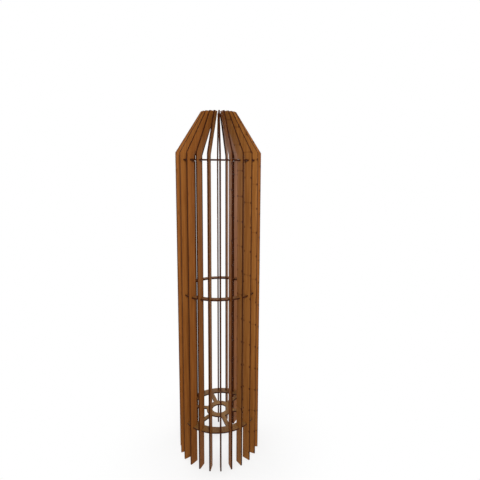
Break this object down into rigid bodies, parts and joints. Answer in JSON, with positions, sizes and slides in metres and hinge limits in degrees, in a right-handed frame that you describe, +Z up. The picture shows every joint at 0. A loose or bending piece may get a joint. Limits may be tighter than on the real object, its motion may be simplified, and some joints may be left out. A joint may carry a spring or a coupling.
{
  "type": "slatted floor vase",
  "caption": "Tall see-through floor vase of upright board slats with a leaning neck, cross-lapped into a spoked base wheel and plain rings; holds dried or artificial stems.",
  "frame": {"origin": "centre of the circle of slat feet, on the floor", "axes": "+Z up along the axis of the vase, -Y out of the first slat"},
  "size_m": [0.18, 0.18, 0.754],
  "materials": {
    "slat_board": "oiled thin board, dark laser-cut edges",
    "ring_board": "oiled thin board, dark laser-cut edges",
    "wheel_board": "oiled thin board, dark laser-cut edges"
  },
  "bodies": {
    "root": {"slat_01": "slat_board", "slat_02": "slat_board", "slat_03": "slat_board", "slat_04": "slat_board", "slat_05": "slat_board", "slat_06": "slat_board", "slat_07": "slat_board", "slat_08": "slat_board", "slat_09": "slat_board", "slat_10": "slat_board", "slat_11": "slat_board", "slat_12": "slat_board", "slat_13": "slat_board", "slat_14": "slat_board", "slat_15": "slat_board", "slat_16": "slat_board", "slat_17": "slat_board", "slat_18": "slat_board", "slat_19": "slat_board", "slat_20": "slat_board", "slat_21": "slat_board", "slat_22": "slat_board", "slat_23": "slat_board", "slat_24": "slat_board", "base_wheel": "wheel_board", "middle_ring": "ring_board", "top_ring": "ring_board"}
  },
  "joints": []
}
